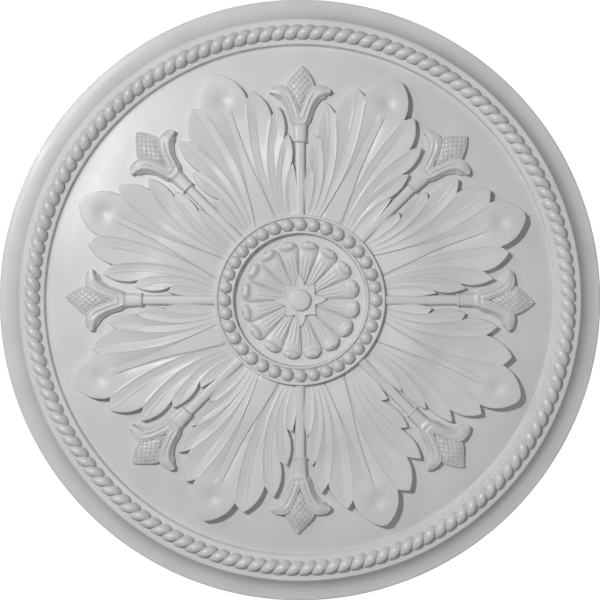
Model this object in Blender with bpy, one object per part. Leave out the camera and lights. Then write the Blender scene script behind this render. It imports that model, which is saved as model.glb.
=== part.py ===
# Round ceiling rose, moulded in one piece: a flat back, a stepped rim with a rope
# moulding, eight carved leaves with buds between them, and a beaded centre rosette.
# Sizes are in metres. Heights are measured down from the flat back, which is fixed
# to the ceiling at z = 0, so the carved face looks down.
import bpy
import bmesh
import math
from mathutils import Matrix, Vector

for old in list(bpy.data.objects):
    bpy.data.objects.remove(old, do_unlink=True)

# outer rim, from the edge inwards
outer_diameter = 0.660
rim_steps = 56
field_steps = 16
flange_height = 0.0046
flange_width = 0.0058
bead_step_height = 0.0031
bead_step_width = 0.0030
cove_foot_width = 0.0026
cove_width = 0.0122
rope_ground_height = 0.0176
outer_flat_width = 0.0058
rope_radius = 0.0084
rope_strands = 132
rope_groove_share = 0.20
rope_lean = 0.80
inner_flat_width = 0.0044
step_width = 0.0033
step_height = 0.0044

# domed field between the rim and the beaded ring
field_rise = 0.0170
field_flatness = 0.32

# beaded ring
ring_radius = 0.0820
ring_floor_above_field = 0.0060
bead_count = 36
bead_gap = 0.0002
fillet_width = 0.0027
fillet_height = 0.0022
ring_wall_width = 0.0012

# sunk floor and rosette inside the ring
inner_wall_width = 0.0036
inner_floor_drop = 0.0050
lobe_count = 16
lobe_height = 0.0052
lobe_start = 0.0185
lobe_clearance = 0.0026
lobe_gap = 0.0014
star_long_radius = 0.0290
star_short_radius = 0.0225
star_waist_radius = 0.0120
star_height = 0.0058
button_radius = 0.0124
button_height = 0.0088

# carved leaves
leaf_count = 8
leaf_tip_clearance = 0.0150
leaf_lean = 0.060
leaf_root_shift = -0.0013
leaf_skew_across = 0.05
leaf_skew_along = 0.028
leaf_rise = 0.0050
leaf_crest_rise = 0.0022
leaf_level_drop = 0.0004
leaf_tip_drop = 0.0022
finger_depth_share = 0.10
finger_belly = 0.20
rib_root_share = 0.062
rib_neck_share = 0.018
rib_height = 0.0020
bowl_depth = 0.0034
line_steps = 3

# buds and their stems
bud_tip_clearance = 0.0216
bud_length = 0.0520
bud_half_width = 0.0144
bud_height = 0.0092
calyx_length = 0.0450
calyx_back = 0.0185
calyx_spread = 0.0348
calyx_height = 0.0074
collar_length = 0.0206
collar_half_width = 0.0073
collar_height = 0.0068
stem_half_width = 0.0054
stem_height = 0.0052

# depth to which every carved part runs down inside the body
sunk_height = 0.0060

# angle of the first leaf from the top of the face, in degrees
first_leaf_angle = 22.5
first_lobe_angle = 9.25
first_star_angle = -2.0

# radii and heights that follow from the sizes above
outer_radius = outer_diameter / 2
flange_inner = outer_radius - flange_width
bead_step_inner = flange_inner - bead_step_width
cove_outer = bead_step_inner - cove_foot_width
cove_inner = cove_outer - cove_width
rope_centre = cove_inner - outer_flat_width - rope_radius
step_outer = rope_centre - rope_radius - inner_flat_width
field_edge = step_outer - step_width
cove_foot_height = flange_height + bead_step_height * 1.3
cove_rise = rope_ground_height - cove_foot_height
field_edge_height = rope_ground_height - step_height
field_top_height = field_edge_height + field_rise
bead_radius = math.pi * ring_radius / bead_count - bead_gap / 2
channel_outer = ring_radius + bead_radius
ring_outer = channel_outer + fillet_width + ring_wall_width
ring_floor_height = field_top_height + ring_floor_above_field
fillet_top = ring_floor_height + fillet_height
channel_inner = ring_radius - bead_radius
inner_floor_radius = channel_inner - fillet_width - inner_wall_width
inner_floor_height = ring_floor_height - inner_floor_drop
field_width = field_edge - ring_outer
leaf_length = field_width - leaf_tip_clearance


def face_down(angle_degrees=0.0):
    """Places a shape drawn face up, turned clockwise from the top of the face."""
    turn = Matrix.Rotation(-math.radians(angle_degrees), 4, "Z")
    flip = Matrix.Rotation(math.pi, 4, "X")
    return flip @ turn


def field_height(radius):
    """Height of the domed field above the back at a radius."""
    share = (radius - ring_outer) / field_width
    share = min(max(share, 0.0), 1.0)
    fall = field_flatness * share + (1 - field_flatness) * share * share
    return field_top_height - field_rise * fall


def along_list(pairs, share):
    """Straight-line reading between pairs of share and value."""
    for (a, low), (b, high) in zip(pairs, pairs[1:]):
        if share <= b:
            return low + (high - low) * (share - a) / (b - a)
    return pairs[-1][1]


def bowed(start, bow, end, steps):
    """Points of a curve that leaves the start towards the bow and lands on the end."""
    points = []
    for i in range(steps + 1):
        t = i / steps
        points.append(start * (1 - t) ** 2 + bow * 2 * t * (1 - t) + end * t * t)
    return points


def belly_points(start, end, share, side, steps):
    """Inner points of an outline that swells to one side of its straight line."""
    way = end - start
    out = Vector((-way.y, way.x)) * side
    bow = (start + end) / 2 + out * share
    return bowed(start, bow, end, steps)[1:-1]


def add_solid(bm, name):
    """Turns a drawn mesh into an object of closed, outward-facing shells."""
    bmesh.ops.remove_doubles(bm, verts=bm.verts, dist=0.00001)
    bmesh.ops.triangulate(bm, faces=bm.faces)
    bmesh.ops.recalc_face_normals(bm, faces=bm.faces)
    mesh = bpy.data.meshes.new(name)
    bm.to_mesh(mesh)
    bm.free()
    mesh.shade_smooth()
    mesh.set_sharp_from_angle(angle=math.radians(32))
    made = bpy.data.objects.new(name, mesh)
    carving.objects.link(made)
    made.hide_render = True
    made.display_type = "WIRE"
    return made


def repeat(bm, count, first_angle):
    """Turns one drawn shape into evenly spaced copies round the face."""
    drawn = list(bm.verts) + list(bm.edges) + list(bm.faces)
    for i in range(1, count):
        copied = bmesh.ops.duplicate(bm, geom=drawn)["geom"]
        verts = [g for g in copied if isinstance(g, bmesh.types.BMVert)]
        bmesh.ops.transform(bm, matrix=face_down(first_angle + 360 * i / count), verts=verts)
    first = [g for g in drawn if isinstance(g, bmesh.types.BMVert)]
    bmesh.ops.transform(bm, matrix=face_down(first_angle), verts=first)


def close_below(bm, height):
    """Drops the outline of an open top straight down and closes it underneath."""
    rim = [e for e in bm.edges if e.is_boundary]
    made = bmesh.ops.extrude_edge_only(bm, edges=rim)["geom"]
    for v in (g for g in made if isinstance(g, bmesh.types.BMVert)):
        v.co.z = height
    foot = [e for e in bm.edges if e.is_boundary]
    bmesh.ops.contextual_create(bm, geom=foot)


def rod(bm, stations, section, sink):
    """Closed bar along +Y from stations of distance, half width and crown height."""
    rings = []
    for distance, half_width, crown in stations:
        ground = field_height(distance) if distance > ring_outer else inner_floor_height
        ring = [bm.verts.new((-half_width, distance, ground - sink))]
        for across, up in section:
            ring.append(bm.verts.new((half_width * across, distance, ground + crown * up)))
        ring.append(bm.verts.new((half_width, distance, ground - sink)))
        rings.append(ring)
    size = len(rings[0])
    for a, b in zip(rings, rings[1:]):
        for i in range(size):
            j = (i + 1) % size
            bm.faces.new((a[i], a[j], b[j], b[i]))
    bm.faces.new(rings[0])
    bm.faces.new(list(reversed(rings[-1])))


carving = bpy.data.collections.new("carving")
bpy.context.scene.collection.children.link(carving)


# the turned body: back, rim with its rope, field, ring and sunk floor
def circle(radius, height, steps, phase=0.0):
    """Points of one circle of the body, with the share of the round each stands at."""
    ring = []
    for i in range(steps):
        share = (i + phase) / steps
        turn = 2 * math.pi * share
        ring.append((Vector((radius * math.sin(turn), radius * math.cos(turn), height)), share))
    return ring


def rope_line(angle, stations, deep):
    """One line along the rope, at an angle round its section, 90 being the crown."""
    ring = []
    for i in range(rope_strands * stations):
        place = i / stations
        swell = 1.0 - (rope_groove_share if deep and i % stations else 0.0)
        tilt = rope_lean * (90.0 - angle) / 180.0
        turn = 2 * math.pi * (place + tilt) / rope_strands
        reach = rope_centre + rope_radius * swell * math.cos(math.radians(angle))
        up = rope_ground_height + rope_radius * swell * math.sin(math.radians(angle))
        spot = Vector((reach * math.sin(turn), reach * math.cos(turn), up))
        ring.append((spot, place / rope_strands))
    return ring


def bridge(bm, outer, inner):
    """Joins two rings of points, which may hold different numbers of them."""
    n = len(outer)
    m = len(inner)
    i = 0
    j = 0
    while i < n or j < m:
        a = outer[i % n][0]
        b = inner[j % m][0]
        next_outer = outer[(i + 1) % n][1] + (i + 1) // n
        next_inner = inner[(j + 1) % m][1] + (j + 1) // m
        if n == m:
            c = inner[(j + 1) % m][0]
            d = outer[(i + 1) % n][0]
            bm.faces.new((a, b, c, d))
            i += 1
            j += 1
        elif j >= m or (i < n and next_outer <= next_inner + 0.000001):
            bm.faces.new((a, b, outer[(i + 1) % n][0]))
            i += 1
        else:
            bm.faces.new((a, b, inner[(j + 1) % m][0]))
            j += 1


field_near = ring_outer + field_width * 0.30
field_far = ring_outer + field_width * 0.68
rings = [
    circle(outer_radius, 0.0, rim_steps),
    circle(outer_radius, flange_height, rim_steps),
    circle(flange_inner, flange_height * 1.15, rim_steps),
    circle(flange_inner - bead_step_width * 0.4, flange_height + bead_step_height, rim_steps),
    circle(cove_outer, cove_foot_height, rim_steps),
    circle(cove_outer - cove_width * 0.64, cove_foot_height + cove_rise * 0.32, rim_steps),
    circle(cove_inner, rope_ground_height, rim_steps),
    rope_line(0.0, 1, False),
    rope_line(50.0, 2, True),
    rope_line(130.0, 2, True),
    rope_line(180.0, 1, False),
    circle(step_outer, rope_ground_height, rim_steps),
    circle(field_edge, field_edge_height, rim_steps),
    circle(field_far, field_height(field_far), field_steps),
    circle(field_near, field_height(field_near), field_steps),
    circle(ring_outer, field_top_height, bead_count, 0.5),
    circle(channel_outer + fillet_width * 0.6, fillet_top, bead_count, 0.5),
    circle(channel_outer - fillet_width * 0.1, ring_floor_height, bead_count, 0.5),
    circle(channel_inner + fillet_width * 0.1, ring_floor_height, bead_count, 0.5),
    circle(channel_inner - fillet_width * 0.6, fillet_top, bead_count, 0.5),
    circle(inner_floor_radius, inner_floor_height, bead_count, 0.5),
]
bm = bmesh.new()
rings = [[(bm.verts.new(spot), share) for spot, share in ring] for ring in rings]
for outer, inner in zip(rings, rings[1:]):
    bridge(bm, outer, inner)
bm.faces.new([v for v, share in rings[0]])
bm.faces.new([v for v, share in rings[-1]])
bmesh.ops.transform(bm, matrix=face_down(), verts=bm.verts)
bmesh.ops.recalc_face_normals(bm, faces=bm.faces)
body_mesh = bpy.data.meshes.new("ceiling_rose")
bm.to_mesh(body_mesh)
bm.free()
body_mesh.shade_smooth()
body_mesh.set_sharp_from_angle(angle=math.radians(32))
body = bpy.data.objects.new("ceiling_rose", body_mesh)
bpy.context.scene.collection.objects.link(body)


# beads in the channel of the ring
bm = bmesh.new()
bmesh.ops.create_uvsphere(bm, u_segments=8, v_segments=4, radius=bead_radius)
bmesh.ops.translate(bm, vec=(0, ring_radius, ring_floor_height), verts=bm.verts)
repeat(bm, bead_count, 0.0)
add_solid(bm, "beads")


# one carved leaf. Fingers are listed from the tip of the leaf down to its root.
# Each has the place of its tip, of the notch below it, and how far its hollow and
# the ridge below it bow at the root, all as shares of the leaf length.
fingers = [
    dict(tip=(0.202, 0.834), notch=(0.265, 0.625), hollow_bow=-0.013, ridge_bow=-0.031),
    dict(tip=(0.321, 0.666), notch=(0.282, 0.445), hollow_bow=0.017, ridge_bow=-0.015),
    dict(tip=(0.323, 0.463), notch=(0.245, 0.242), hollow_bow=0.012, ridge_bow=0.008),
    dict(tip=(0.286, 0.254), notch=(0.196, 0.000), hollow_bow=0.012, ridge_bow=0.065),
]
lobe_notch = (0.146, 0.795)
lobe_ridge_bow = -0.071
root_first = 0.077
root_pitch = 0.0128
rib_end = 0.770
bowl_place = 0.845


def leaf_height(along):
    share = (along - ring_outer) / leaf_length
    spring = field_top_height + leaf_rise - 0.0028
    crest = spring + leaf_crest_rise
    level = spring - leaf_level_drop
    tip = spring - leaf_tip_drop
    return along_list([(-1.0, spring), (0.0, spring), (0.24, crest), (0.45, level), (1.1, tip)], share)


def leaf_point(side, across, along, drop=0.0):
    """Point of the leaf from shares of its length, mirrored and skewed by side."""
    wide = across * leaf_length * (1 - side * leaf_skew_across)
    far = ring_outer + along * leaf_length * (1 - side * leaf_skew_along * min(1.0, across / 0.146))
    x = side * wide + leaf_root_shift + leaf_lean * (far - ring_outer)
    return Vector((x, far)), drop


def root_point(side, across):
    wide = side * across * leaf_length * (1 - side * leaf_skew_across)
    x = wide + leaf_root_shift
    inside = ring_outer - ring_wall_width * 1.5
    return Vector((x, math.sqrt(inside * inside - x * x)))


def leaf_line(side, root_across, bow, end, depth):
    """Line from the ring to a tip or a notch, with its depth under the ridges."""
    start = root_point(side, root_across)
    finish, _ = leaf_point(side, end[0], end[1])
    middle = start.y + (finish.y - start.y) * 0.52
    lean = leaf_lean * (middle - ring_outer)
    bend = side * (root_across + bow) * leaf_length * (1 - side * leaf_skew_across)
    mid = Vector((bend + leaf_root_shift + lean, middle))
    points = bowed(start, mid, finish, line_steps)
    return [Vector((p.x, p.y, leaf_height(p.y) - d)) for p, d in zip(points, depth)]


bm = bmesh.new()


def face(*points):
    bm.faces.new([bm.verts.new(p) for p in points])


def strip(left, right):
    for i in range(len(left) - 1):
        if (left[i + 1] - right[i + 1]).length < 0.00002:
            face(left[i], right[i], right[i + 1])
        else:
            face(left[i], right[i], right[i + 1], left[i + 1])


def lift(p):
    return Vector((p.x, p.y, leaf_height(p.y)))


rib_lines = {}
for side in (-1, 1):
    level = [0.0] * (line_steps + 1)
    lobe_ridge = leaf_line(side, root_first, lobe_ridge_bow, lobe_notch, level)
    ridges = [lobe_ridge]
    hollows = []
    for i, finger in enumerate(fingers):
        hollow_root = root_first + root_pitch * (2 * i + 1)
        ridge_root = root_first + root_pitch * (2 * i + 2)
        ridge = leaf_line(side, ridge_root, finger["ridge_bow"], finger["notch"], level)
        if i == len(fingers) - 1:
            start = root_point(side, ridge_root)
            tip, _ = leaf_point(side, *finger["tip"])
            bow = (start + tip) / 2 + Vector((tip.y - start.y, start.x - tip.x)) * side * finger_belly
            ridge = [lift(p) for p in bowed(start, bow, tip, line_steps)]
        above = ridges[-1]
        hollow = leaf_line(side, hollow_root, finger["hollow_bow"], finger["tip"], level)
        for j, p in enumerate(hollow):
            wide = (above[j] - ridge[j]).length
            fade = 1.0 if j < line_steps else 0.0
            p.z -= finger_depth_share * wide * fade
        ridges.append(ridge)
        hollows.append(hollow)
        strip(above, hollow)
        strip(hollow, ridge)
        if i < len(fingers) - 1:
            start = Vector((ridge[-1].x, ridge[-1].y))
            end = Vector((hollow[-1].x, hollow[-1].y))
            edge = [lift(p) for p in belly_points(start, end, finger_belly * 1.15, -side, 2)]
            face(hollow[-1], ridge[-1], edge[0])
    rib = []
    groove = []
    for j in range(line_steps + 1):
        t = j / line_steps
        share = rib_end * t
        half = along_list([(0.0, rib_root_share), (0.42, rib_neck_share), (1.0, rib_neck_share * 0.75)], share)
        root = root_point(side, half)
        p, _ = leaf_point(side, half, share)
        q, _ = leaf_point(side, half + 0.009, share)
        if j == 0:
            p = root
            q = root_point(side, half + 0.007)
        fade = 0.4 if j == line_steps else 1.0
        rib.append(lift(p) - Vector((0, 0, rib_height * (1 - fade))))
        groove.append(lift(q) - Vector((0, 0, rib_height if j else rib_height * 0.3)))
    strip(rib, groove)
    strip(groove, lobe_ridge)
    rib_lines[side] = (rib, groove, lobe_ridge)
strip(rib_lines[-1][0], rib_lines[1][0])

# the rounded end lobe, hollowed round the end of the rib
bowl, _ = leaf_point(1, 0.0, bowl_place)
bowl = lift(bowl) - Vector((0, 0, bowl_depth))
tip, _ = leaf_point(1, 0.0, 1.0)
outline = []
for side in (-1, 1):
    notch = rib_lines[side][2][-1]
    start = Vector((notch.x, notch.y))
    edge = [lift(p) for p in belly_points(start, tip, 0.26, -side, 3)]
    half = [notch] + edge
    outline.append(half)
whole = outline[0] + [lift(tip)] + list(reversed(outline[1]))
whole += [rib_lines[1][1][-1], rib_lines[1][0][-1], rib_lines[-1][0][-1], rib_lines[-1][1][-1]]
for a, b in zip(whole, whole[1:] + whole[:1]):
    face(bowl, a, b)
bmesh.ops.remove_doubles(bm, verts=bm.verts, dist=0.00001)
close_below(bm, sunk_height)
repeat(bm, leaf_count, first_leaf_angle)
add_solid(bm, "leaves")


# bud stems with their collars
bud_angle = first_leaf_angle + 180 / leaf_count
half_round = [(-1.0, 0.35), (-0.55, 1.0), (0.55, 1.0), (1.0, 0.35)]
bud_end = field_edge - bud_tip_clearance
bud_start = bud_end - bud_length
curl_end = bud_end - calyx_back
curl_start = curl_end - calyx_length
collar_end = curl_start + 0.0010
collar_start = collar_end - collar_length
bm = bmesh.new()
inside_ring = ring_outer - ring_wall_width * 1.2
rod(bm, [
    (inside_ring, stem_half_width, stem_height),
    (collar_start + 0.001, stem_half_width, stem_height),
], half_round, sunk_height)
repeat(bm, leaf_count, bud_angle)
add_solid(bm, "stems")

bm = bmesh.new()
rod(bm, [
    (collar_start, collar_half_width, collar_height),
    (collar_end, collar_half_width, collar_height),
], half_round, sunk_height * 1.1)
repeat(bm, leaf_count, bud_angle)
add_solid(bm, "collars")


# calyx: two leaves that curl away from the bud
bm = bmesh.new()
reach = calyx_length


def calyx_point(side, across, along, crown):
    x = side * across * calyx_spread
    y = curl_start + along * reach
    return Vector((x, y, field_height(math.hypot(x, y)) + crown * calyx_height))


for side in (-1, 1):
    outer = [(0.25, 0.0, 0.6), (0.40, 0.42, 0.7), (0.72, 0.70, 0.7), (0.97, 0.84, 0.6)]
    crest = [(0.12, 0.0, 1.0), (0.30, 0.42, 1.0), (0.56, 0.80, 1.0), (0.90, 0.97, 0.8)]
    inner = [(0.0, 0.0, 1.0), (0.0, 0.28, 0.8), (0.30, 0.80, 0.7), (0.62, 1.04, 0.6)]
    lines = [[calyx_point(side, *p) for p in line] for line in (outer, crest, inner)]
    strip(lines[0], lines[1])
    strip(lines[1], lines[2])
bmesh.ops.remove_doubles(bm, verts=bm.verts, dist=0.00001)
close_below(bm, sunk_height * 1.05)
repeat(bm, leaf_count, bud_angle)
add_solid(bm, "calyxes")


# buds
rounded = [(-1.0, 0.15), (-0.62, 0.80), (0.0, 1.0), (0.62, 0.80), (1.0, 0.15)]
bm = bmesh.new()
rod(bm, [
    (bud_start, bud_half_width * 0.10, bud_height * 0.45),
    (bud_start + bud_length * 0.34, bud_half_width * 0.66, bud_height * 0.85),
    (bud_start + bud_length * 0.62, bud_half_width, bud_height),
    (bud_start + bud_length * 0.84, bud_half_width * 0.62, bud_height * 0.80),
    (bud_end, bud_half_width * 0.12, bud_height * 0.35),
], rounded, sunk_height)
repeat(bm, leaf_count, bud_angle)
add_solid(bm, "buds")


# rosette lobes on the sunk floor
lobe_end = inner_floor_radius - lobe_clearance
lobe_reach = lobe_end - lobe_start
lobe_slope = math.tan(math.pi / lobe_count)
flat_top = [(-1.0, 0.1), (-0.5, 1.0), (0.5, 1.0), (1.0, 0.1)]
bm = bmesh.new()
stations = []
for share, width_share, crown_share in (
    (0.0, 1.0, 0.35), (0.76, 1.0, 1.0), (0.92, 0.74, 0.85), (1.0, 0.30, 0.1)
):
    distance = lobe_start + lobe_reach * share
    half_width = (distance * lobe_slope - lobe_gap / 2) * width_share
    stations.append((distance, half_width, lobe_height * crown_share))
rod(bm, stations, flat_top, inner_floor_height * 0.5)
repeat(bm, lobe_count, first_lobe_angle)
add_solid(bm, "lobes")


# eight pointed star and the button at the centre
bm = bmesh.new()
crown = Vector((0, 0, inner_floor_height + star_height))
points = []
for i in range(16):
    reach = star_waist_radius
    lower = 0.45
    if i % 4 == 0:
        reach = star_long_radius
        lower = 0.50
    elif i % 2 == 0:
        reach = star_short_radius
        lower = 0.50
    turn = math.radians(22.5 * i)
    points.append(Vector((reach * math.sin(turn), reach * math.cos(turn), inner_floor_height + star_height * lower)))
for a, b in zip(points, points[1:] + points[:1]):
    face(crown, b, a)
bmesh.ops.remove_doubles(bm, verts=bm.verts, dist=0.00001)
close_below(bm, inner_floor_height * 0.55)
repeat(bm, 1, first_star_angle)
add_solid(bm, "star")

bm = bmesh.new()
bmesh.ops.create_cone(
    bm, cap_ends=True, segments=12, radius1=button_radius, radius2=button_radius * 0.78,
    depth=button_height * 2,
)
bmesh.ops.translate(bm, vec=(0, 0, inner_floor_height), verts=bm.verts)
repeat(bm, 1, 0.0)
add_solid(bm, "button")


# everything is one casting
joined = body.modifiers.new("one casting", "BOOLEAN")
joined.operation = "UNION"
joined.solver = "EXACT"
joined.operand_type = "COLLECTION"
joined.collection = carving

paint = bpy.data.materials.new("primed white moulding")
paint.use_nodes = True
shader = paint.node_tree.nodes["Principled BSDF"]
shader.inputs["Base Color"].default_value = (0.60, 0.60, 0.59, 1.0)
shader.inputs["Roughness"].default_value = 0.55
body.data.materials.append(paint)
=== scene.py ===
# Looks of the round ceiling rose: a turned base, a rope moulding, carved leaves and buds,
# and a beaded centre with its rosette, all in primed white.
# Shapes are drawn face up with the top of the face at +Y, then turned to look down.
import math
import bpy
from mathutils import Matrix, Vector


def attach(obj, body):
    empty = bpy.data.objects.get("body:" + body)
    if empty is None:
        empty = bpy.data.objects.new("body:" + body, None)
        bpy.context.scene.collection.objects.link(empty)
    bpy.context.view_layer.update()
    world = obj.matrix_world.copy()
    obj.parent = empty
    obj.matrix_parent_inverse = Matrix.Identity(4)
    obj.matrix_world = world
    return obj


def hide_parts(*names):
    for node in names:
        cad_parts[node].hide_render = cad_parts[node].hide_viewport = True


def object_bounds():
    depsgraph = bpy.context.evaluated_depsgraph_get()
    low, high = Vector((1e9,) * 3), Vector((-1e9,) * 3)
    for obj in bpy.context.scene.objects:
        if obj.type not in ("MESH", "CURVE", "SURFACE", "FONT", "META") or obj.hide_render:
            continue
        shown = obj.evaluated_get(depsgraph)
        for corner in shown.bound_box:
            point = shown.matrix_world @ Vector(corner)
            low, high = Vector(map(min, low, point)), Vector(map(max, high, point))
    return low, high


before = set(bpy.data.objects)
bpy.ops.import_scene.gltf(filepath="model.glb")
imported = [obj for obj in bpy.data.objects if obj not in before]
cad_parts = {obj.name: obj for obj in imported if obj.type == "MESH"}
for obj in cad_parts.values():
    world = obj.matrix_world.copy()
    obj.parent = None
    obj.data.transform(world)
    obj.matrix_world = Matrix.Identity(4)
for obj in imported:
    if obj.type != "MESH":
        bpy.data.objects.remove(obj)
cadLow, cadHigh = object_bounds()
outerRadius = (cadHigh.x - cadLow.x) / 2
print("frame loaded, outer radius", round(outerRadius, 4))


# small helpers

def deselectAll():
    bpy.ops.object.select_all(action="DESELECT")


def makeActive(piece):
    deselectAll()
    piece.select_set(True)
    bpy.context.view_layer.objects.active = piece


def gridSheet(name, columns, rows, place):
    # a grid primitive whose points are put in place by their column and row
    deselectAll()
    bpy.ops.mesh.primitive_grid_add(x_subdivisions=columns, y_subdivisions=rows, size=1.0)
    piece = bpy.context.active_object
    piece.name = name
    for v in piece.data.vertices:
        column = round((v.co.x + 0.5) * columns)
        row = round((v.co.y + 0.5) * rows)
        v.co = place(column, row)
    mergeDoubles(piece)
    return piece


def mergeDoubles(piece, gap=0.00002):
    makeActive(piece)
    bpy.ops.object.mode_set(mode="EDIT")
    bpy.ops.mesh.select_all(action="SELECT")
    bpy.ops.mesh.remove_doubles(threshold=gap)
    bpy.ops.mesh.dissolve_degenerate(threshold=gap / 2)
    bpy.ops.mesh.normals_make_consistent(inside=False)
    bpy.ops.object.mode_set(mode="OBJECT")


def selectOpenEdge():
    bpy.ops.mesh.select_all(action="DESELECT")
    bpy.ops.mesh.select_non_manifold(
        extend=False, use_wire=False, use_boundary=True, use_multi_face=False,
        use_non_contiguous=False, use_verts=False)


def planSpot(point):
    return round(point.x, 6), round(point.y, 6)


def openEdgeNormals(mesh):
    # outward direction in plan at each point of the open edge
    used = {}
    for poly in mesh.polygons:
        for key in poly.edge_keys:
            used.setdefault(key, []).append(poly.index)
    normals = {}
    for key, polys in used.items():
        if len(polys) != 1:
            continue
        a = mesh.vertices[key[0]].co
        b = mesh.vertices[key[1]].co
        out = Vector((b.y - a.y, a.x - b.x, 0.0))
        if out.dot((a + b) / 2 - mesh.polygons[polys[0]].center) < 0:
            out.negate()
        for point in (a, b):
            spot = planSpot(point)
            normals[spot] = normals.get(spot, Vector((0, 0, 0))) + out.normalized()
    return normals


def dropEdge(piece, steps, foot):
    # rounds the open edge over by steps of outward and downward, then a wall goes down to the foot
    makeActive(piece)
    for outward, downward in steps + [(0.0, None)]:
        normals = openEdgeNormals(piece.data)
        bpy.ops.object.mode_set(mode="EDIT")
        bpy.ops.mesh.select_mode(type="EDGE")
        selectOpenEdge()
        bpy.ops.mesh.extrude_edges_move()
        bpy.ops.object.mode_set(mode="OBJECT")
        for v in piece.data.vertices:
            if not v.select:
                continue
            out = normals.get(planSpot(v.co), Vector((0, 0, 0)))
            if out.length > 0:
                v.co += out * outward / 2
            v.co.z = foot if downward is None else v.co.z - downward
    bpy.ops.object.mode_set(mode="EDIT")
    selectOpenEdge()
    bpy.ops.mesh.edge_face_add()                # closes the underside
    bpy.ops.mesh.select_all(action="SELECT")
    bpy.ops.mesh.normals_make_consistent(inside=False)
    bpy.ops.mesh.select_mode(type="VERT")
    bpy.ops.object.mode_set(mode="OBJECT")


def turnedPiece(name, profile, steps, gap=0.00001):
    # a profile of radius and height, drawn point by point and spun round the axis
    deselectAll()
    bpy.ops.mesh.primitive_plane_add(size=0.001, location=(profile[0][0], 0, profile[0][1]))
    piece = bpy.context.active_object
    piece.name = name
    bpy.ops.object.transform_apply(location=True, rotation=True, scale=True)
    bpy.ops.object.mode_set(mode="EDIT")
    bpy.ops.mesh.select_all(action="SELECT")
    bpy.ops.mesh.merge(type="CENTER")           # one point is left to start from
    for (r0, h0), (r1, h1) in zip(profile, profile[1:]):
        bpy.ops.mesh.extrude_region_move(
            TRANSFORM_OT_translate={"value": (r1 - r0, 0, h1 - h0)})
    bpy.ops.mesh.select_all(action="SELECT")
    bpy.ops.mesh.spin(steps=steps, angle=2 * math.pi, center=(0, 0, 0), axis=(0, 0, 1))
    bpy.ops.object.mode_set(mode="OBJECT")
    mergeDoubles(piece, gap)
    return piece


def joinPieces(pieces, name):
    deselectAll()
    for one in pieces:
        one.select_set(True)
    bpy.context.view_layer.objects.active = pieces[0]
    bpy.ops.object.join()
    pieces[0].name = name
    return pieces[0]


def copiesAround(piece, count, firstAngle, joined=False):
    # the drawn piece becomes the first, its copies stand evenly round the face
    made = []
    for i in range(count):
        makeActive(piece)
        bpy.ops.object.duplicate(linked=False)
        one = bpy.context.active_object
        one.name = f"{piece.name}_{i + 1}"
        one.rotation_euler = (0, 0, -math.radians(firstAngle + 360 * i / count))
        bpy.ops.object.transform_apply(location=True, rotation=True, scale=True)
        made.append(one)
    name = piece.name
    bpy.data.objects.remove(piece, do_unlink=True)
    if joined:
        return [joinPieces(made, name)]
    return made


def finishPiece(piece, material, smoothAngle):
    makeActive(piece)
    piece.rotation_euler = (math.pi, 0, 0)
    bpy.ops.object.transform_apply(location=True, rotation=True, scale=True)
    bpy.ops.object.shade_smooth_by_angle(angle=math.radians(smoothAngle))
    piece.data.materials.clear()
    piece.data.materials.append(material)
    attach(piece, "root")
    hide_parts("ceiling_rose")


def mix(a, b, share):
    return a + (b - a) * share


def reading(pairs, place):
    # smooth curve through pairs of place and value
    if place <= pairs[0][0]:
        return pairs[0][1]
    for i in range(len(pairs) - 1):
        x0, y0 = pairs[i]
        x1, y1 = pairs[i + 1]
        if place <= x1:
            before = pairs[i - 1] if i > 0 else pairs[i]
            after = pairs[i + 2] if i + 2 < len(pairs) else pairs[i + 1]
            m0 = (y1 - before[1]) / (x1 - before[0]) * (x1 - x0)
            m1 = (after[1] - y0) / (after[0] - x0) * (x1 - x0)
            t = (place - x0) / (x1 - x0)
            return ((2 * t ** 3 - 3 * t * t + 1) * y0 + (t ** 3 - 2 * t * t + t) * m0
                    + (3 * t * t - 2 * t ** 3) * y1 + (t ** 3 - t * t) * m1)
    return pairs[-1][1]


def lineThrough(points, share):
    # point of a smooth line through a few points, by share of its number of spans
    spans = len(points) - 1
    xs = [(i / spans, p[0]) for i, p in enumerate(points)]
    ys = [(i / spans, p[1]) for i, p in enumerate(points)]
    return Vector((reading(xs, share), reading(ys, share)))


def smoothStep(low, high, value):
    t = min(max((value - low) / (high - low), 0.0), 1.0)
    return t * t * (3 - 2 * t)


# paint

paint = {
    "colour": (0.640, 0.640, 0.636, 1.0),
    "darker": (0.605, 0.606, 0.603, 1.0),
    "roughness": 0.35,
    "roughnessSwing": 0.08,
    "grainSize": 0.0011,      # stipple of the sprayed primer
    "grainDepth": 0.00006,
    "waveSize": 0.045,        # slow unevenness of the casting
    "waveDepth": 0.00035,
    "grainDetail": 2.0, "waveDetail": 3.0,
    "toneRange": (0.35, 0.65),      # part of the wave noise that the two tones share
    "specular": 0.5,
    "carved": {"Wave Depth": 0.00015},
    "rounded": {"Wave Depth": 0.0001, "Roughness": 0.28},
}


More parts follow.
